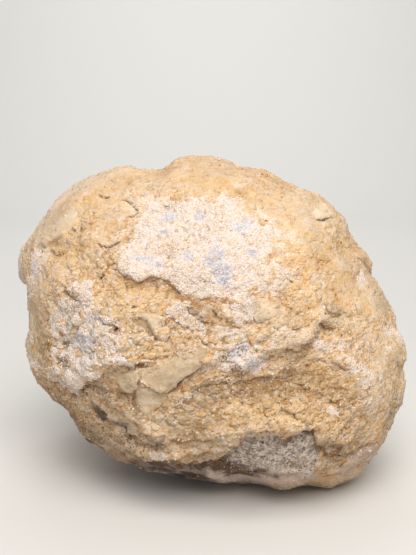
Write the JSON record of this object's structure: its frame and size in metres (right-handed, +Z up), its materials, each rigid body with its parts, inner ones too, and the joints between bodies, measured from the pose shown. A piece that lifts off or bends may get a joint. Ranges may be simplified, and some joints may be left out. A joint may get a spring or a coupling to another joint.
{
  "type": "geode",
  "caption": "Whole, unopened geode: a rough nodule of ochre rind with crusts of pale sugary quartz, broken ledges and a small flat resting spot.",
  "frame": {"origin": "on the plane that the stone rests on, under the middle of its box", "axes": "+Z up, +Y away from the front, +X to the right seen from the front, along the longest extent"},
  "size_m": [0.1014, 0.0852, 0.0844],
  "materials": {
    "rind": "matt, granular, ochre with pale crystalline crusts"
  },
  "bodies": {
    "root": {"geode": "rind"}
  },
  "joints": []
}
